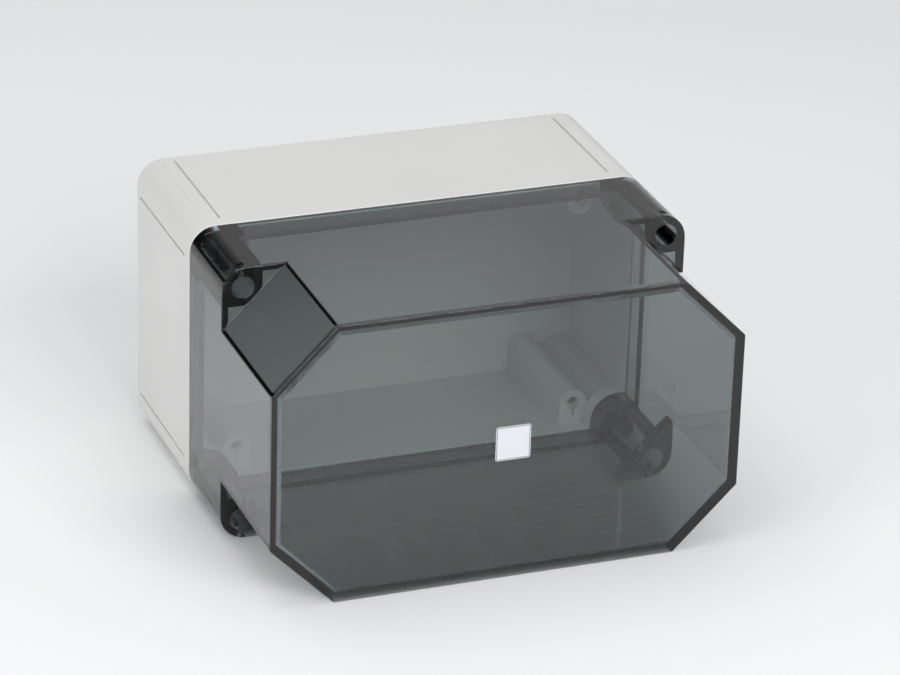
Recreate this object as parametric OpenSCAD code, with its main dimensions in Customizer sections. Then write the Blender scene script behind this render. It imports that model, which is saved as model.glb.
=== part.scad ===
// Wall-mounting instrument case: an opaque base and a smoked, clear cover whose deep
// hood has four chamfered corners. The cover hangs on two draw-out hinge links hidden
// in the left corner pillars and is held at the right by two captive screws.
// Frame: X to the right, Y to the back, Z up. The origin is under the middle of the case.

/* [Case] */
// Outside width of the case
case_w = 182; // [150:1:360]
// Outside height of the case
case_h = 110; // [90:1:254]
// Depth of the base, from its back face to its rim
base_depth = 67; // [60:1:120]
// Thickness of the side walls of base and cover
wall = 3; // [2:0.1:4]
// Thickness of the back of the base
back_thickness = 3.5; // [2.5:0.1:5]
// Radius of the long outer corners
corner_r = 10; // [5:0.5:13]

/* [Cover] */
// Depth of the collar that carries the corner pillars
collar_depth = 39.5; // [30:0.5:80]
// Depth of the chamfered hood in front of the collar
hood_depth = 58.2; // [20:0.1:120]
// Leg of the 45 degree corner chamfers of the hood
chamfer = 24.5; // [24:0.5:30]
// Thickness of the front window
front_thickness = 3; // [2:0.1:5]
// Width of the slope that stiffens the edge between hood walls and window
window_slope = 1.4; // [0.5:0.1:1.8]
// Thickness of the triangular corner shelves
shelf_thickness = 3; // [2:0.1:5]
// Gap between the base rim and the cover rim, filled by the seal
joint_gap = 0.3; // [0.1:0.05:0.6]

/* [Rim and seal] */
// Width of the thickened rim of base and cover
rim_w = 5; // [4.5:0.1:6]
// Depth of the thickened rim of the cover
cover_rim_depth = 10; // [6:0.5:14]
// Depth of the thickened rim of the base
base_rim_depth = 6; // [4:0.5:10]
// Distance of the seal groove from the outer face
groove_inset = 1.5; // [1.2:0.1:1.8]
// Width of the seal groove
groove_w = 2; // [1.4:0.1:2.2]
// Depth of the seal groove
groove_depth = 2; // [1:0.1:2.5]
// How far the rim line steps into the corner pillars
rim_step = 2; // [1.6:0.1:2.2]

/* [Corner pillars] */
// Distance of the screw axes from both outer faces
screw_inset = 8; // [7.8:0.1:8.6]
// Radius of the pillars about the screw axes
pillar_r = 8; // [7.6:0.1:9]
// Thickness of the plate that a screw head seats on
seat_thickness = 4; // [3:0.5:6]
// Radius of the small sealing-wire holes through the pillars
wire_hole_r = 1.3; // [0.8:0.1:1.6]
// Distance of the sealing-wire holes behind the shelf face
wire_hole_setback = 3.7; // [2.5:0.1:6]

/* [Cover screws] */
// Radius of a screw head
head_r = 4; // [3.2:0.1:4.2]
// Height of a screw head
head_h = 6; // [4:0.5:8]
// Radius of the cover screw shank
shank_r = 2.6; // [2.2:0.1:2.8]
// How far the shank reaches into the base
shank_reach = 9; // [5:0.5:12]
// Width of the driver slot
slot_w = 1.4; // [1:0.1:2]
// Depth of the driver slot
slot_depth = 2.2; // [1:0.1:3]
// Clearance round the screw head in its well
head_clearance = 0.4; // [0.3:0.05:0.5]
// Clearance round the shank in the seat plate
shank_clearance = 0.3; // [0.3:0.05:0.4]
// Clearance round the shank in its socket
socket_clearance = 0.5; // [0.35:0.05:0.6]
// Outer radius of the snap ring that keeps a screw in the cover
ring_r = 4; // [3.6:0.1:4.1]
// Thickness of the snap ring
ring_thickness = 1; // [0.8:0.1:1.4]
// Depth of the groove that the snap ring sits in
ring_groove = 0.5; // [0.3:0.05:0.7]

/* [Hinge links] */
// Radius of the sliding stem
stem_r = 2.25; // [2:0.05:2.4]
// Radius of the hinge eye and of the fork ears
eye_r = 3; // [2.8:0.1:3.3]
// Distance of the hinge axis behind the cover rim
pivot_setback = 4.5; // [4.4:0.1:5]
// Radius of the hinge pin
pin_r = 1.25; // [1:0.05:1.4]
// Thickness of each fork ear
ear_thickness = 2; // [1.6:0.1:2.2]
// Gap between the eye and each ear
ear_gap = 0.3; // [0.2:0.05:0.3]
// Thickness of the fork block let into the cover pillar
fork_inlet = 3; // [2:0.5:5]
// How far the fork block stands out behind the cover rim
fork_proud = 0.8; // [0.3:0.1:0.9]
// Radius of the fork screw shank
fork_screw_r = 1.95; // [1.5:0.05:2.1]
// How far the links draw out over the whole swing
draw_travel = 16; // [16:0.5:20]
// Length of the guide bush
bush_length = 17.5; // [10:0.5:20]
// Thickness of the end clip
clip_thickness = 1.2; // [0.8:0.1:1.6]
// Outer radius of the end clip
clip_r = 3.8; // [3.4:0.1:3.9]
// Room between the base pocket and the fork at the sides
pocket_side = 1; // [0.9:0.1:1.2]
// Room between the base pocket and the ear ends
pocket_end = 0.35; // [0.3:0.05:0.4]

/* [Wall fixing] */
// Radius of the channels through the base pillars
channel_r = 4.2; // [4:0.1:4.6]
// Radius of the wall-fixing holes
fixing_r = 2.25; // [1.6:0.05:2.8]
// Thickness of the seat under a fixing screw
fixing_seat = 4; // [3:0.5:6]
// Length of the screw sockets
socket_length = 14; // [13:0.5:20]

/* [Mounting domes] */
// Distance of the domes from the left and right outer faces
dome_inset_x = 23.5; // [23:0.5:40]
// Distance of the domes from the top and bottom outer faces
dome_inset_z = 13.5; // [12:0.5:30]
// Radius of a dome
dome_r = 5.5; // [4.5:0.1:6]
// Distance of the dome ends behind the base rim
dome_setback = 7; // [7:0.5:30]
// Radius of the screw hole in a dome
dome_hole_r = 1.8; // [1.2:0.05:2.2]
// Depth of the screw hole
dome_hole_depth = 16; // [8:0.5:24]
// Radius of the widened mouth of the hole
mouth_r = 2.6; // [2.4:0.1:3.2]
// Depth of the widened mouth
mouth_depth = 2; // [1:0.5:4]
// Width of the drain slot from the mouth to the wall
slit_w = 1.4; // [1:0.1:2]

/* [Surface marks] */
// Distance of the knock-out lines from the long corners
line_inset = 13.5; // [11:0.5:24]
// Width of the knock-out lines
line_w = 1; // [0.4:0.1:1.4]
// Depth of the knock-out lines
line_depth = 0.7; // [0.2:0.05:1]
// Distance of the lines from the back face
line_back = 4; // [2:0.5:10]
// Distance of the lines from the base rim
line_front = 6; // [3:0.5:12]

/* [Hidden] */
$fn = 64;
// Overlap of a cut past the face that it opens
cut = 1;
// Radial clearance of pieces pressed or running in a bore
fit_gap = 0.05;

total_depth = base_depth + joint_gap + collar_depth + hood_depth;
back_y = total_depth / 2;
half_w = case_w / 2;
screw_x = half_w - screw_inset;
screw_low = screw_inset;
screw_high = case_h - screw_inset;
SCREW_ROWS = [screw_low, screw_high];

// Distances from the back face towards the front
cover_rear = base_depth + joint_gap;
shelf_front = cover_rear + collar_depth;
shelf_rear = shelf_front - shelf_thickness;
window_rear = total_depth - front_thickness;
well_r = head_r + head_clearance;

// Cover screws: a snap ring lies in a shallow rear counterbore of the pillar
ring_pocket = ring_thickness + 2 * joint_gap;
right_seat = cover_rear + ring_pocket + seat_thickness;
ring_start = cover_rear + joint_gap;
socket_r = channel_r - fit_gap;

// Hinge: the fork is let into the rear of the left cover pillars
left_seat = cover_rear + fork_inlet + seat_thickness;
pivot = cover_rear - pivot_setback;
eye_half = stem_r;
ear_inner = eye_half + ear_gap;
ear_outer = ear_inner + ear_thickness;
pocket_floor = pivot - eye_r - 2 * joint_gap;
bush_front = pocket_floor - 2;
bush_rear = bush_front - bush_length;
clip_front = bush_rear - draw_travel - 5;
stem_rear = clip_front - clip_thickness - 1;

// Extrudes an outline drawn in X and Z towards the front, from a distance off the back
module forward(start, length) {
    translate([0, back_y - start, 0])
        rotate([90, 0, 0])
            linear_extrude(length)
                children();
}

// A round bar or bore along the depth, about one screw axis
module round_at(x, z, r, start, length) {
    forward(start, length)
        translate([x, z])
            circle(r);
}

// The outline of the case with round corners, moved inwards by a wall
module case_outline(inset) {
    r = max(corner_r - inset, 0.5);
    w = case_w - 2 * inset;
    h = case_h - 2 * inset;
    translate([0, case_h / 2]) {
        square([w - 2 * r, h], center = true);
        square([w, h - 2 * r], center = true);
        for (sx = [-1, 1], sz = [-1, 1])
            translate([sx * (w / 2 - r), sz * (h / 2 - r)])
                circle(r);
    }
}

// The hood outline: a rectangle with 45 degree corners, moved inwards by a wall
module hood_outline(inset) {
    w = half_w - inset;
    low = inset;
    high = case_h - inset;
    leg = chamfer - inset * (2 - sqrt(2));
    polygon([
        [-w + leg, low], [w - leg, low], [w, low + leg], [w, high - leg],
        [w - leg, high], [-w + leg, high], [-w, high - leg], [-w, low + leg]
    ]);
}

// One outline repeated at all four corners, as drawn in the lower right corner
module four_corners() {
    for (side = [0, 1], row = [0, 1])
        mirror([side, 0])
            translate([0, row * case_h])
                mirror([0, row])
                    children();
}

// One corner pillar, drawn in the lower right corner: two arms and a round about the screw
module pillar_corner(grow) {
    arm = screw_inset + pillar_r + grow;
    translate([half_w - arm, 0])
        square([arm, screw_inset]);
    translate([half_w - screw_inset, 0])
        square([screw_inset, arm]);
    translate([half_w - screw_inset, screw_inset])
        circle(pillar_r + grow);
}

// All four corner pillars, widened by grow
module pillars(grow) {
    four_corners()
        pillar_corner(grow);
}

// The opening inside a rim of the given width, which steps round the corner pillars
module rim_opening(inset) {
    difference() {
        translate([0, case_h / 2])
            square([case_w - 2 * inset, case_h - 2 * inset], center = true);
        pillars(inset - rim_step);
    }
}

// The space inside the side walls, between the corner pillars
module wall_opening() {
    difference() {
        case_outline(wall);
        pillars(0);
    }
}

// Shallow knock-out lines along one pair of opposite faces
module knock_out_lines() {
    run = base_depth - line_back - line_front;
    forward(line_back, run) {
        for (sx = [-1, 1], z = [0, case_h])
            translate([sx * (half_w - line_inset), z])
                square([line_w, 2 * line_depth], center = true);
        for (sx = [-1, 1], z = [line_inset, case_h - line_inset])
            translate([sx * half_w, z])
                square([2 * line_depth, line_w], center = true);
    }
}

// A mounting dome and the block that joins it to the corner pillar and the wall
module dome_outline() {
    x = half_w - dome_inset_x;
    translate([x, dome_inset_z])
        circle(dome_r);
    translate([x - dome_r, 0])
        square([dome_inset_x - screw_inset + dome_r, dome_inset_z]);
}

// The screw hole of each dome, with a widened mouth and a slot down to the wall
module dome_holes() {
    end = base_depth - dome_setback;
    forward(end - dome_hole_depth, dome_hole_depth + cut)
        four_corners()
            translate([half_w - dome_inset_x, dome_inset_z])
                circle(dome_hole_r);
    forward(end - mouth_depth, mouth_depth + cut)
        four_corners()
            translate([half_w - dome_inset_x, dome_inset_z]) {
                circle(mouth_r);
                translate([0, -dome_r / 2])
                    square([slit_w, dome_r], center = true);
            }
}

// The opaque base: back, side walls, four channelled pillars, mounting domes, grooved rim
module base_shell() {
    channel_run = base_depth - fixing_seat + cut;
    color([0.87, 0.87, 0.86])
        difference() {
            union() {
                difference() {
                    forward(0, base_depth)
                        case_outline(0);
                    forward(back_thickness, base_depth - back_thickness - base_rim_depth)
                        wall_opening();
                    forward(base_depth - base_rim_depth - cut, base_rim_depth + 2 * cut)
                        rim_opening(rim_w);
                }
                forward(back_thickness / 2, base_depth - dome_setback - back_thickness / 2)
                    four_corners()
                        dome_outline();
            }
            forward(base_depth - groove_depth, groove_depth + cut)
                difference() {
                    rim_opening(groove_inset);
                    rim_opening(groove_inset + groove_w);
                }
            for (sx = [-1, 1], z = SCREW_ROWS) {
                round_at(sx * screw_x, z, fixing_r, -cut, fixing_seat + 2 * cut);
                round_at(sx * screw_x, z, channel_r, fixing_seat, channel_run);
            }
            for (z = SCREW_ROWS)
                forward(pocket_floor, base_depth - pocket_floor + cut)
                    translate([-screw_x, z])
                        square(2 * [eye_r + pocket_side, ear_outer + pocket_end], center = true);
            dome_holes();
            knock_out_lines();
        }
}

// The seal cord: fills the groove and meets the cover rim
module seal() {
    color([0.12, 0.12, 0.13])
        forward(base_depth - groove_depth, groove_depth + joint_gap)
            difference() {
                rim_opening(groove_inset + fit_gap);
                rim_opening(groove_inset + groove_w - fit_gap);
            }
}

// A plain socket that a cover screw enters, pressed into the right channels
module socket(z) {
    color([0.72, 0.73, 0.74])
        forward(base_depth - socket_length, socket_length)
            translate([screw_x, z])
                difference() {
                    circle(socket_r);
                    circle(shank_r + socket_clearance);
                }
}

// The guide bush of a hinge stem, pressed into the left channels
module bush(z) {
    color([0.72, 0.73, 0.74])
        forward(bush_rear, bush_length)
            translate([-screw_x, z])
                difference() {
                    circle(socket_r);
                    circle(stem_r + fit_gap);
                }
}

// Screw wells, seats, rear counterbores and sealing-wire holes of the cover pillars
module cover_screw_cuts() {
    hole_start = cover_rear - cut;
    for (z = SCREW_ROWS) {
        round_at(screw_x, z, well_r, right_seat, shelf_front - right_seat + cut);
        round_at(screw_x, z, shank_r + shank_clearance, hole_start, right_seat - hole_start + cut);
        round_at(screw_x, z, well_r, hole_start, ring_pocket + cut);
        round_at(-screw_x, z, well_r, left_seat, shelf_front - left_seat + cut);
        round_at(-screw_x, z, fork_screw_r + shank_clearance, hole_start, left_seat - hole_start + cut);
        forward(hole_start, fork_inlet + cut)
            translate([-screw_x, z])
                square(2 * [eye_r + 2 * fit_gap, ear_outer + 2 * fit_gap], center = true);
    }
    for (sx = [-1, 1], z = [-cut, screw_high])
        translate([sx * screw_x, back_y - shelf_front + wire_hole_setback, z])
            cylinder(r = wire_hole_r, h = screw_inset + cut);
}

// Distance from the middle of the hood to its inner walls, in steps of 45 degrees
function wall_reach(step) =
    step % 4 == 0 ? half_w - wall :
    step % 4 == 2 ? case_h / 2 - wall :
    (half_w + case_h / 2 - chamfer) / sqrt(2) - wall;

// The wedges left standing along the eight edges between hood walls and window
module window_slopes() {
    for (step = [0 : 7])
        translate([0, back_y - window_rear, case_h / 2])
            rotate([0, step * 45, 0])
                translate([wall_reach(step), 0, -case_w])
                    linear_extrude(2 * case_w)
                        polygon([[-window_slope - cut, -cut], [cut, -cut], [cut, window_slope + cut]]);
}

// The clear cover: collar with pillars and shelves, and the chamfered hood
module cover() {
    color([0.35, 0.37, 0.39, 0.55])
        difference() {
            union() {
                forward(cover_rear, collar_depth)
                    case_outline(0);
                forward(shelf_rear, hood_depth + shelf_thickness)
                    hood_outline(0);
            }
            forward(cover_rear - cut, cover_rim_depth + 2 * cut)
                rim_opening(rim_w);
            forward(cover_rear + cover_rim_depth, shelf_rear - cover_rear - cover_rim_depth)
                wall_opening();
            difference() {
                forward(shelf_rear - cut, window_rear - shelf_rear + cut)
                    hood_outline(wall);
                window_slopes();
            }
            cover_screw_cuts();
        }
}

// The fork: a block let into the cover pillar and two ears that hold the hinge pin
module fork(z) {
    block_start = cover_rear - fork_proud;
    block_length = fork_inlet + fork_proud;
    color([0.6, 0.61, 0.63])
        difference() {
            translate([-screw_x, 0, z]) {
                translate([-eye_r, back_y - cover_rear - fork_inlet, -ear_outer])
                    cube([2 * eye_r, block_length, 2 * ear_outer]);
                for (side = [-1, 1])
                    translate([0, 0, side * (ear_inner + ear_thickness / 2)]) {
                        translate([-eye_r, back_y - block_start, -ear_thickness / 2])
                            cube([2 * eye_r, block_start - pivot, ear_thickness]);
                        translate([0, back_y - pivot, 0])
                            cylinder(r = eye_r, h = ear_thickness, center = true);
                    }
            }
            translate([-screw_x, back_y - pivot, z])
                cylinder(r = pin_r + fit_gap, h = 2 * ear_outer + 2 * cut, center = true);
            round_at(-screw_x, z, fork_screw_r + fit_gap, block_start - cut, block_length + 2 * cut);
        }
}

// The hinge pin, held by the fork ears
module pin(z) {
    color([0.8, 0.81, 0.82])
        translate([-screw_x, back_y - pivot, z])
            cylinder(r = pin_r, h = 2 * ear_outer, center = true);
}

// A slotted head with its shank, seated on the given face and pointing to the back
module slotted_screw(x, z, seat, r, reach) {
    difference() {
        union() {
            round_at(x, z, head_r, seat, head_h);
            round_at(x, z, r, seat - reach, reach + cut);
        }
        translate([x, back_y - seat - head_h, z])
            cube([slot_w, 2 * slot_depth, 2 * head_r + cut], center = true);
    }
}

module fork_screw(z) {
    color([0.1, 0.1, 0.11])
        slotted_screw(-screw_x, z, left_seat, fork_screw_r, left_seat - cover_rear + fork_proud);
}

// The sliding stem: an eye for the pin, a round rod and a groove for the end clip
module stem(z) {
    color([0.8, 0.81, 0.82])
        difference() {
            union() {
                translate([-screw_x, back_y - pivot, z])
                    cylinder(r = eye_r, h = 2 * eye_half, center = true);
                round_at(-screw_x, z, stem_r, stem_rear, pivot - eye_r / 2 - stem_rear);
            }
            translate([-screw_x, back_y - pivot, z])
                cylinder(r = pin_r + fit_gap, h = 2 * eye_half + 2 * cut, center = true);
            forward(clip_front - clip_thickness, clip_thickness)
                translate([-screw_x, z])
                    difference() {
                        circle(stem_r + cut);
                        circle(stem_r - ring_groove);
                    }
        }
}

// The clip that stops the stem at the rear of its bush
module clip(z) {
    color([0.5, 0.5, 0.52])
        forward(clip_front - clip_thickness, clip_thickness)
            translate([-screw_x, z])
                difference() {
                    circle(clip_r);
                    circle(stem_r - ring_groove + fit_gap);
                    translate([0, -clip_r])
                        square([2 * stem_r - 2 * ring_groove, 2 * clip_r], center = true);
                }
}

// A captive cover screw with a ring groove behind the seat plate
module cover_screw(z) {
    color([0.1, 0.1, 0.11])
        difference() {
            slotted_screw(screw_x, z, right_seat, shank_r, right_seat - base_depth + shank_reach);
            forward(ring_start, ring_thickness)
                translate([screw_x, z])
                    difference() {
                        circle(shank_r + cut);
                        circle(shank_r - ring_groove);
                    }
        }
}

// The snap ring that keeps a cover screw in its pillar
module ring(z) {
    color([0.5, 0.5, 0.52])
        forward(ring_start, ring_thickness)
            translate([screw_x, z])
                difference() {
                    circle(ring_r);
                    circle(shank_r - ring_groove + fit_gap);
                    translate([0, -ring_r])
                        square([2 * shank_r - 2 * ring_groove, 2 * ring_r], center = true);
                }
}

base_shell();
seal();
socket(screw_high);  // socket_top
socket(screw_low);  // socket_bottom
bush(screw_high);  // bush_top
bush(screw_low);  // bush_bottom
cover();
fork(screw_high);  // fork_top
fork(screw_low);  // fork_bottom
pin(screw_high);  // pin_top
pin(screw_low);  // pin_bottom
fork_screw(screw_high);  // fork_screw_top
fork_screw(screw_low);  // fork_screw_bottom
stem(screw_high);  // stem_top
stem(screw_low);  // stem_bottom
clip(screw_high);  // clip_top
clip(screw_low);  // clip_bottom
cover_screw(screw_high);  // cover_screw_top
cover_screw(screw_low);  // cover_screw_bottom
ring(screw_high);  // ring_top
ring(screw_low);  // ring_bottom
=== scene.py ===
import math
import bmesh
import bpy
import numpy as np
from mathutils import Matrix, Vector


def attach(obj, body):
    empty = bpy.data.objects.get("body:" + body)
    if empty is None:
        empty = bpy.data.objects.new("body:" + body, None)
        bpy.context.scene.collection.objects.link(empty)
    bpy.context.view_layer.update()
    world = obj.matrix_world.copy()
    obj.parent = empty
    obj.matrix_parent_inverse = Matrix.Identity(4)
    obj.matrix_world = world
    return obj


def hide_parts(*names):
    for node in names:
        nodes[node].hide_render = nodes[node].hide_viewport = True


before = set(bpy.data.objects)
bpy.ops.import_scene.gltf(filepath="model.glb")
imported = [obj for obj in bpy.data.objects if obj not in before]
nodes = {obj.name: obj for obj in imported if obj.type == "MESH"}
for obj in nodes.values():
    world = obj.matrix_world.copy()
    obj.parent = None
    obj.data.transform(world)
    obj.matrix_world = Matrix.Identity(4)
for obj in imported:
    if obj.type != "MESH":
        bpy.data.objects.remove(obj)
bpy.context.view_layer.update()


# --- Camera ------------------------------------------------------------------
# A long lens looks down on the case from the front left, as a product
# picture of it is usually taken.
camera_azimuth, camera_elevation, camera_roll = (math.radians(a) for a in (-21.06, 24.9, 1.75))
camera_distance = 1.6496
camera_target = Vector((0.00809, 0.0025, 0.05793))
camera_lens = 174.6

camera_back = Vector((
    math.sin(camera_azimuth) * math.cos(camera_elevation),
    -math.cos(camera_azimuth) * math.cos(camera_elevation),
    math.sin(camera_elevation),
))
level_right = Vector((math.cos(camera_azimuth), math.sin(camera_azimuth), 0.0))
level_up = camera_back.cross(level_right)
camera_right = math.cos(camera_roll) * level_right + math.sin(camera_roll) * level_up
camera_up = -math.sin(camera_roll) * level_right + math.cos(camera_roll) * level_up

camera_data = bpy.data.cameras.new("camera")
camera_data.lens = camera_lens
camera_data.sensor_width = 36.0
camera_data.clip_start = 0.05
camera_data.clip_end = 20.0
camera = bpy.data.objects.new("camera", camera_data)
bpy.context.scene.collection.objects.link(camera)
turn = Matrix((camera_right, camera_up, camera_back)).transposed().to_4x4()
camera.matrix_world = Matrix.Translation(camera_target + camera_back * camera_distance) @ turn
bpy.context.scene.camera = camera
bpy.context.scene.view_settings.view_transform = "Standard"


# --- Studio ------------------------------------------------------------------
# A plain pale floor under the case, a bright even surround and three large
# soft lamps, above, in front and at the left, as in a light tent.
def soft_lamp(name, place, aim, width, height, power):
    """Adds a rectangular lamp at place whose face looks at aim."""
    data = bpy.data.lights.new(name, "AREA")
    data.shape = "RECTANGLE"
    data.size = width
    data.size_y = height
    data.energy = power
    lamp = bpy.data.objects.new(name, data)
    bpy.context.scene.collection.objects.link(lamp)
    place = Vector(place)
    lamp.matrix_world = Matrix.Translation(place) @ (
        (Vector(aim) - place).to_track_quat("-Z", "Y").to_matrix().to_4x4())


soft_lamp("overhead", place=(-0.25, 0.15, 1.3), aim=(0.0, 0.0, 0.05), width=1.1, height=1.1, power=4.5)
soft_lamp("front_key", place=(0.25, -1.45, 1.0), aim=(0.0, 0.0, 0.05), width=1.2, height=0.8, power=17.0)
soft_lamp("left_fill", place=(-1.3, -0.5, 0.6), aim=(0.0, 0.0, 0.06), width=0.9, height=0.9, power=6.0)

# The surround is white to the eye, and lights the case evenly. Polished faces
# mirror it darker towards the back left, where the light tent is open.
surround_light = 0.5
tent_open = Vector((-0.72, 0.62, 0.30)).normalized()
mirrored_bright = 0.75
mirrored_dark = 0.05
fade_start = 0.35
fade_end = 0.92
world = bpy.data.worlds.new("surround")
bpy.context.scene.world = world
world.use_nodes = True
tree = world.node_tree
tree.nodes.clear()
output = tree.nodes.new("ShaderNodeOutputWorld")
seen = tree.nodes.new("ShaderNodeBackground")
seen.inputs["Color"].default_value = (1.0, 1.0, 1.0, 1.0)
lit = tree.nodes.new("ShaderNodeBackground")
lit.inputs["Color"].default_value = (0.97, 0.98, 1.0, 1.0)
lit.inputs["Strength"].default_value = surround_light
path = tree.nodes.new("ShaderNodeLightPath")
where = tree.nodes.new("ShaderNodeTexCoord")
towards = tree.nodes.new("ShaderNodeVectorMath")
towards.operation = "DOT_PRODUCT"
towards.inputs[1].default_value = tent_open
fade = tree.nodes.new("ShaderNodeMapRange")
fade.interpolation_type = "SMOOTHSTEP"
fade.inputs["From Min"].default_value = fade_start
fade.inputs["From Max"].default_value = fade_end
fade.inputs["To Min"].default_value = mirrored_bright
fade.inputs["To Max"].default_value = mirrored_dark
mirrored = tree.nodes.new("ShaderNodeBackground")
behind_clear = tree.nodes.new("ShaderNodeMath")
behind_clear.operation = "MAXIMUM"
pick_seen = tree.nodes.new("ShaderNodeMixShader")
pick_mirrored = tree.nodes.new("ShaderNodeMixShader")
tree.links.new(where.outputs["Generated"], towards.inputs[0])
tree.links.new(towards.outputs["Value"], fade.inputs["Value"])
tree.links.new(fade.outputs["Result"], mirrored.inputs["Strength"])
tree.links.new(path.outputs["Is Camera Ray"], behind_clear.inputs[0])
tree.links.new(path.outputs["Is Transmission Ray"], behind_clear.inputs[1])
tree.links.new(behind_clear.outputs[0], pick_seen.inputs["Fac"])
tree.links.new(lit.outputs[0], pick_seen.inputs[1])
tree.links.new(seen.outputs[0], pick_seen.inputs[2])
tree.links.new(path.outputs["Is Glossy Ray"], pick_mirrored.inputs["Fac"])
tree.links.new(pick_seen.outputs[0], pick_mirrored.inputs[1])
tree.links.new(mirrored.outputs[0], pick_mirrored.inputs[2])
tree.links.new(pick_mirrored.outputs[0], output.inputs["Surface"])

floor_size = 6.0
floor_mesh = bpy.data.meshes.new("floor")
half = floor_size / 2
floor_mesh.from_pydata(
    [(-half, -half, 0), (half, -half, 0), (half, half, 0), (-half, half, 0)], [], [(0, 1, 2, 3)])
floor = bpy.data.objects.new("floor", floor_mesh)
bpy.context.scene.collection.objects.link(floor)
floor_paint = bpy.data.materials.new("floor_paint")
floor_paint.use_nodes = True
paint = floor_paint.node_tree.nodes["Principled BSDF"]
paint.inputs["Base Color"].default_value = (0.86, 0.86, 0.86, 1.0)
paint.inputs["Roughness"].default_value = 0.9
floor_mesh.materials.append(floor_paint)


# --- Base --------------------------------------------------------------------
# The base is one light grey polycarbonate moulding with a fine satin spark
# texture; the outer edges of its back and of its rim have a small radius.
case_half_width = 0.091
case_height = 0.110
case_corner = 0.010
case_back = 0.0825
base_rim = 0.0155
outer_radius = 0.0005
flat_angle = math.radians(0.3)
sharp_angle = math.radians(30)
plastic_ior = 1.58
base_grey = (0.66, 0.66, 0.645)


def on_outline(point):
    """Whether a point lies on the rounded outline of the case, seen from the front."""
    across = max(abs(point.x) - (case_half_width - case_corner), 0.0)
    upward = max(abs(point.z - case_height / 2) - (case_height / 2 - case_corner), 0.0)
    return abs(math.hypot(across, upward) - case_corner) < 5e-5


def soft_edged(node, name, radius, chosen):
    """A copy of a CAD node with its triangles joined to flat faces, smooth across
    its round walls, and with the edges rounded for which chosen(a, b) is true."""
    mesh = nodes[node].data.copy()
    mesh.name = name
    mesh.materials.clear()
    shape = bmesh.new()
    shape.from_mesh(mesh)
    bmesh.ops.remove_doubles(shape, verts=shape.verts, dist=1e-6)
    bmesh.ops.dissolve_limit(
        shape, angle_limit=flat_angle, verts=shape.verts, edges=shape.edges)
    weight = shape.edges.layers.float.new("bevel_weight_edge")
    for edge in shape.edges:
        if len(edge.link_faces) == 2 and edge.calc_face_angle(0.0) > sharp_angle:
            edge[weight] = float(chosen(edge.verts[0].co, edge.verts[1].co))
    shape.to_mesh(mesh)
    shape.free()
    if "custom_normal" in mesh.attributes:
        mesh.attributes.remove(mesh.attributes["custom_normal"])
    mesh.shade_smooth()
    mesh.set_sharp_from_angle(angle=sharp_angle)
    piece = bpy.data.objects.new(name, mesh)
    bpy.context.scene.collection.objects.link(piece)
    bevel = piece.modifiers.new("mould_radius", "BEVEL")
    bevel.width = radius
    bevel.segments = 3
    bevel.limit_method = "WEIGHT"
    bevel.use_clamp_overlap = False
    bevel.harden_normals = True
    return piece


def moulded(name, colour, roughness, grain, bump):
    """An opaque finish: a slight cloud in the colour, and a fine grain in the
    roughness and the bump."""
    made = bpy.data.materials.new(name)
    made.use_nodes = True
    tree = made.node_tree
    shader = tree.nodes["Principled BSDF"]
    shader.inputs["IOR"].default_value = plastic_ior
    where = tree.nodes.new("ShaderNodeTexCoord")
    cloud = tree.nodes.new("ShaderNodeTexNoise")
    cloud.inputs["Scale"].default_value = 18.0
    cloud.inputs["Detail"].default_value = 3.0
    shade = tree.nodes.new("ShaderNodeValToRGB")
    shade.color_ramp.elements[0].position = 0.3
    shade.color_ramp.elements[1].position = 0.7
    shade.color_ramp.elements[0].color = tuple(0.97 * c for c in colour) + (1.0,)
    shade.color_ramp.elements[1].color = tuple(min(1.0, 1.02 * c) for c in colour) + (1.0,)
    fine = tree.nodes.new("ShaderNodeTexNoise")
    fine.inputs["Scale"].default_value = grain
    fine.inputs["Detail"].default_value = 2.0
    rough = tree.nodes.new("ShaderNodeMapRange")
    rough.inputs["To Min"].default_value = roughness - 0.05
    rough.inputs["To Max"].default_value = roughness + 0.07
    relief = tree.nodes.new("ShaderNodeBump")
    relief.inputs["Strength"].default_value = bump
    relief.inputs["Distance"].default_value = 0.0001
    tree.links.new(where.outputs["Object"], cloud.inputs["Vector"])
    tree.links.new(where.outputs["Object"], fine.inputs["Vector"])
    tree.links.new(cloud.outputs["Fac"], shade.inputs["Fac"])
    tree.links.new(shade.outputs["Color"], shader.inputs["Base Color"])
    tree.links.new(fine.outputs["Fac"], rough.inputs["Value"])
    tree.links.new(rough.outputs["Result"], shader.inputs["Roughness"])
    tree.links.new(fine.outputs["Fac"], relief.inputs["Height"])
    tree.links.new(relief.outputs["Normal"], shader.inputs["Normal"])
    return made


def on_base_edge(a, b):
    """The outer edges of the back and of the rim."""
    level = abs(a.y - b.y) < 1e-6 and min(abs(a.y - case_back), abs(a.y - base_rim)) < 2e-5
    return level and on_outline(a) and on_outline(b)


satin_grey = moulded("satin_grey", base_grey, 0.42, 2600.0, 0.25)
base = soft_edged("base_shell", "base_moulding", outer_radius, on_base_edge)
base.data.materials.append(satin_grey)
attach(base, "base")
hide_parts("base_shell")


# --- Sockets and bushes ------------------------------------------------------
# Round grey mouldings in the four pillars of the base: the sockets take the
# cover screws, the bushes guide the stems of the hinge.
bush_grey = (0.5, 0.51, 0.52)


def finish_node(node, made):
    """Gives a CAD node its finish."""
    mesh = nodes[node].data
    mesh.materials.clear()
    mesh.materials.append(made)


dull_grey = moulded("dull_grey", bush_grey, 0.5, 3200.0, 0.2)
for node in ("socket_top", "socket_bottom"):
    finish_node(node, satin_grey)
for node in ("bush_top", "bush_bottom"):
    finish_node(node, dull_grey)


# --- Seal --------------------------------------------------------------------
# The seal is a dark strip of closed-cell foam that lies in the groove of the
# rim; its skin has small pores.
seal_dark = (0.03, 0.03, 0.033)


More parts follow.
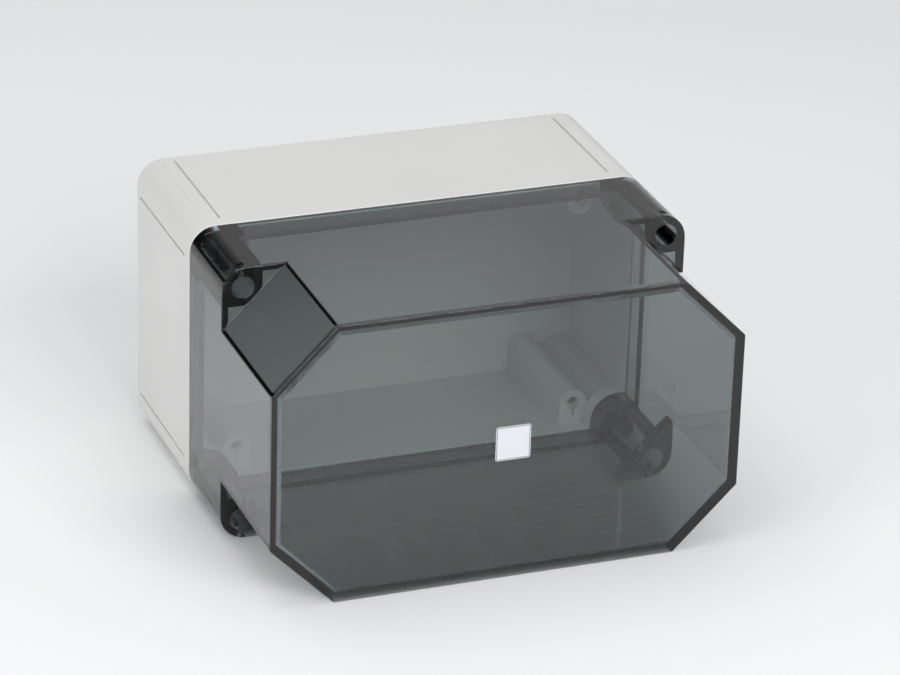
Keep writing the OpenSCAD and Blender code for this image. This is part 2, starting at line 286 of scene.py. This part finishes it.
def foamed(name, colour, pore_scale):
    """Foam rubber: small pores dent the skin, and their colour is painted darker as shade inside them.
    """
    made = bpy.data.materials.new(name)
    made.use_nodes = True
    tree = made.node_tree
    shader = tree.nodes["Principled BSDF"]
    shader.inputs["Roughness"].default_value = 0.75
    shader.inputs["Specular IOR Level"].default_value = 0.35
    where = tree.nodes.new("ShaderNodeTexCoord")
    pores = tree.nodes.new("ShaderNodeTexVoronoi")
    pores.inputs["Scale"].default_value = pore_scale
    shade = tree.nodes.new("ShaderNodeValToRGB")
    shade.color_ramp.elements[0].position = 0.12
    shade.color_ramp.elements[1].position = 0.4
    # Painted shade: in the pores the colour falls to 0.55 of the foam's own.
    shade.color_ramp.elements[0].color = tuple(0.55 * c for c in colour) + (1.0,)
    shade.color_ramp.elements[1].color = tuple(colour) + (1.0,)
    dents = tree.nodes.new("ShaderNodeBump")
    dents.inputs["Strength"].default_value = 0.5
    dents.inputs["Distance"].default_value = 0.0001
    tree.links.new(where.outputs["Object"], pores.inputs["Vector"])
    tree.links.new(pores.outputs["Distance"], shade.inputs["Fac"])
    tree.links.new(shade.outputs["Color"], shader.inputs["Base Color"])
    tree.links.new(pores.outputs["Distance"], dents.inputs["Height"])
    tree.links.new(dents.outputs["Normal"], shader.inputs["Normal"])
    return made


finish_node("seal", foamed("foam_rubber", seal_dark, 2400.0))


# --- Clear cover -------------------------------------------------------------
# The cover is one smoked clear polycarbonate moulding, polished all over.
# Thick places such as the pillars and the wall edges look almost black.
cover_joint = 0.0152
shelf_face = -0.0243
window_face = -0.0825
hood_corner = 0.0245
smoke_colour = (0.36, 0.415, 0.43)
smoke_density = 340.0


def smoked_clear(name, colour, density):
    """Clear plastic whose tint deepens with the length of plastic that light
    crosses, with faint flow waves in its polish, and which lets lamp light
    through as a thin wall does."""
    made = bpy.data.materials.new(name)
    made.use_nodes = True
    tree = made.node_tree
    output = tree.nodes["Material Output"]
    shader = tree.nodes["Principled BSDF"]
    shader.inputs["Base Color"].default_value = (1.0, 1.0, 1.0, 1.0)
    shader.inputs["Roughness"].default_value = 0.02
    shader.inputs["IOR"].default_value = plastic_ior
    shader.inputs["Transmission Weight"].default_value = 1.0
    inside = tree.nodes.new("ShaderNodeVolumeAbsorption")
    inside.inputs["Color"].default_value = tuple(colour) + (1.0,)
    inside.inputs["Density"].default_value = density
    where = tree.nodes.new("ShaderNodeTexCoord")
    flow = tree.nodes.new("ShaderNodeTexNoise")
    flow.inputs["Scale"].default_value = 14.0
    flow.inputs["Detail"].default_value = 1.0
    waves = tree.nodes.new("ShaderNodeBump")
    waves.inputs["Strength"].default_value = 0.05
    waves.inputs["Distance"].default_value = 0.001
    through = tree.nodes.new("ShaderNodeBsdfTransparent")
    through.inputs["Color"].default_value = (0.92, 0.92, 0.92, 1.0)
    path = tree.nodes.new("ShaderNodeLightPath")
    pick = tree.nodes.new("ShaderNodeMixShader")
    tree.links.new(where.outputs["Object"], flow.inputs["Vector"])
    tree.links.new(flow.outputs["Fac"], waves.inputs["Height"])
    tree.links.new(waves.outputs["Normal"], shader.inputs["Normal"])
    tree.links.new(path.outputs["Is Shadow Ray"], pick.inputs["Fac"])
    tree.links.new(shader.outputs[0], pick.inputs[1])
    tree.links.new(through.outputs[0], pick.inputs[2])
    tree.links.new(pick.outputs[0], output.inputs["Surface"])
    tree.links.new(inside.outputs[0], output.inputs["Volume"])
    return made


def on_hood_corner(point):
    """Whether a point lies on one of the eight long edges of the hood."""
    beside = abs(abs(point.x) - case_half_width) < 5e-5 and (
        abs(abs(point.z - case_height / 2) - (case_height / 2 - hood_corner)) < 5e-5)
    above = abs(abs(point.z - case_height / 2) - case_height / 2) < 5e-5 and (
        abs(abs(point.x) - (case_half_width - hood_corner)) < 5e-5)
    return beside or above


def on_cover_edge(a, b):
    """The outer edges of the joint face, the corner shelves and the hood."""
    if abs(a.y - b.y) < 1e-6:
        if abs(a.y - window_face) < 2e-5:
            return True
        level = min(abs(a.y - cover_joint), abs(a.y - shelf_face)) < 2e-5
        return level and on_outline(a) and on_outline(b)
    return on_hood_corner(a) and on_hood_corner(b) and max(a.y, b.y) < shelf_face + 1e-4


cover = soft_edged("cover", "clear_cover", outer_radius, on_cover_edge)
cover.data.materials.append(smoked_clear("smoked_polycarbonate", smoke_colour, smoke_density))
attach(cover, "cover")
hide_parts("cover")


# --- Hinge and fixing parts --------------------------------------------------
# Forks, pins, stems, clips and rings are turned or punched stainless steel
# with fine tool marks.
steel_grey = (0.55, 0.56, 0.58)


def brushed(name, colour, roughness, mark_scale):
    """Steel with fine lines in its roughness and bump, drawn out along the depth
    of the case."""
    made = bpy.data.materials.new(name)
    made.use_nodes = True
    tree = made.node_tree
    shader = tree.nodes["Principled BSDF"]
    shader.inputs["Base Color"].default_value = tuple(colour) + (1.0,)
    shader.inputs["Metallic"].default_value = 1.0
    where = tree.nodes.new("ShaderNodeTexCoord")
    drawn = tree.nodes.new("ShaderNodeMapping")
    drawn.inputs["Scale"].default_value = (1.0, 0.05, 1.0)
    marks = tree.nodes.new("ShaderNodeTexNoise")
    marks.inputs["Scale"].default_value = mark_scale
    marks.inputs["Detail"].default_value = 3.0
    rough = tree.nodes.new("ShaderNodeMapRange")
    rough.inputs["To Min"].default_value = roughness - 0.08
    rough.inputs["To Max"].default_value = roughness + 0.1
    relief = tree.nodes.new("ShaderNodeBump")
    relief.inputs["Strength"].default_value = 0.15
    relief.inputs["Distance"].default_value = 0.0001
    tree.links.new(where.outputs["Object"], drawn.inputs["Vector"])
    tree.links.new(drawn.outputs["Vector"], marks.inputs["Vector"])
    tree.links.new(marks.outputs["Fac"], rough.inputs["Value"])
    tree.links.new(rough.outputs["Result"], shader.inputs["Roughness"])
    tree.links.new(marks.outputs["Fac"], relief.inputs["Height"])
    tree.links.new(relief.outputs["Normal"], shader.inputs["Normal"])
    return made


drawn_steel = brushed("drawn_steel", steel_grey, 0.32, 3500.0)
for node in ("fork", "pin", "stem", "clip", "ring"):
    finish_node(node + "_top", drawn_steel)
    finish_node(node + "_bottom", drawn_steel)


# --- Screws ------------------------------------------------------------------
# The slotted screws are black glass-filled plastic, so their skin is slightly
# mottled.
screw_black = (0.02, 0.02, 0.022)
black_plastic = moulded("black_plastic", screw_black, 0.36, 1500.0, 0.3)
for node in ("fork_screw", "cover_screw"):
    finish_node(node + "_top", black_plastic)
    finish_node(node + "_bottom", black_plastic)


# --- Type plate --------------------------------------------------------------
# A small bare silver plate is stuck on the outside of the window. It is thin aluminium foil
# with a dark line painted just inside its edge, painted shade for the shadow along its edge.
plate_side = 0.0135
plate_corner = 0.0008
plate_thickness = 0.00025
plate_middle = (0.001, 0.055)
plate_gap = 0.00002
# The line of painted edge shade lies this far inside the plate's edge and is this wide.
edge_shade_inset = 0.0003
edge_shade_width = 0.00025


def rounded_square(side, corner, steps):
    """The corner points of a square with rounded corners, anticlockwise: each
    corner is the arc (corner cos t, corner sin t) for t over a quarter turn."""
    middle = side / 2 - corner
    points = []
    for quarter in range(4):
        centre = np.array([(1, 1), (-1, 1), (-1, -1), (1, -1)][quarter]) * middle
        for t in np.linspace(quarter, quarter + 1, steps + 1) * math.pi / 2:
            points.append(centre + corner * np.array([math.cos(t), math.sin(t)]))
    return points


def foil_with_edge_shade(name, middle, side, inset, width):
    """Brushed silver foil with one thin dark square line just inside its edge, painted shade for the
    shadow along the plate's edge.
    """
    made = bpy.data.materials.new(name)
    made.use_nodes = True
    tree = made.node_tree
    shader = tree.nodes["Principled BSDF"]
    shader.inputs["Metallic"].default_value = 0.1
    where = tree.nodes.new("ShaderNodeTexCoord")
    centred = tree.nodes.new("ShaderNodeVectorMath")
    centred.operation = "SUBTRACT"
    centred.inputs[1].default_value = (middle[0], 0.0, middle[1])
    absolute = tree.nodes.new("ShaderNodeVectorMath")
    absolute.operation = "ABSOLUTE"
    parts = tree.nodes.new("ShaderNodeSeparateXYZ")
    farthest = tree.nodes.new("ShaderNodeMath")
    farthest.operation = "MAXIMUM"
    on_line = tree.nodes.new("ShaderNodeMath")
    on_line.operation = "COMPARE"
    on_line.inputs[1].default_value = side / 2 - inset - width / 2
    on_line.inputs[2].default_value = width / 2
    marks = tree.nodes.new("ShaderNodeTexNoise")
    marks.inputs["Scale"].default_value = 4000.0
    shade = tree.nodes.new("ShaderNodeValToRGB")
    shade.color_ramp.elements[0].color = (0.64, 0.66, 0.69, 1.0)
    shade.color_ramp.elements[1].color = (0.72, 0.74, 0.77, 1.0)
    edge_shade_mix = tree.nodes.new("ShaderNodeMix")
    edge_shade_mix.data_type = "RGBA"
    # Painted shade: the dark colour of the line along the plate's edge.
    edge_shade_mix.inputs[7].default_value = (0.05, 0.05, 0.055, 1.0)
    rough = tree.nodes.new("ShaderNodeMapRange")
    rough.inputs["To Min"].default_value = 0.3
    rough.inputs["To Max"].default_value = 0.42
    tree.links.new(where.outputs["Object"], centred.inputs[0])
    tree.links.new(centred.outputs[0], absolute.inputs[0])
    tree.links.new(absolute.outputs[0], parts.inputs[0])
    tree.links.new(parts.outputs["X"], farthest.inputs[0])
    tree.links.new(parts.outputs["Z"], farthest.inputs[1])
    tree.links.new(farthest.outputs[0], on_line.inputs[0])
    tree.links.new(where.outputs["Object"], marks.inputs["Vector"])
    tree.links.new(marks.outputs["Fac"], shade.inputs["Fac"])
    tree.links.new(on_line.outputs[0], edge_shade_mix.inputs["Factor"])
    tree.links.new(shade.outputs["Color"], edge_shade_mix.inputs[6])
    tree.links.new(edge_shade_mix.outputs[2], shader.inputs["Base Color"])
    tree.links.new(marks.outputs["Fac"], rough.inputs["Value"])
    tree.links.new(rough.outputs["Result"], shader.inputs["Roughness"])
    return made


corner_points = rounded_square(plate_side, plate_corner, 4)
count = len(corner_points)
plate_back = window_face - plate_gap
plate_front = plate_back - plate_thickness
plate_vertices = [
    (plate_middle[0] + x, y, plate_middle[1] + z)
    for y in (plate_back, plate_front) for x, z in corner_points]
plate_faces = [tuple(range(count))[::-1], tuple(range(count, 2 * count))]
plate_faces += [(i, (i + 1) % count, count + (i + 1) % count, count + i) for i in range(count)]
plate_mesh = bpy.data.meshes.new("type_plate")
plate_mesh.from_pydata(plate_vertices, [], plate_faces)
plate_mesh.materials.append(
    foil_with_edge_shade("silver_foil", plate_middle, plate_side, edge_shade_inset, edge_shade_width))
plate = bpy.data.objects.new("type_plate", plate_mesh)
bpy.context.scene.collection.objects.link(plate)
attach(plate, "cover")
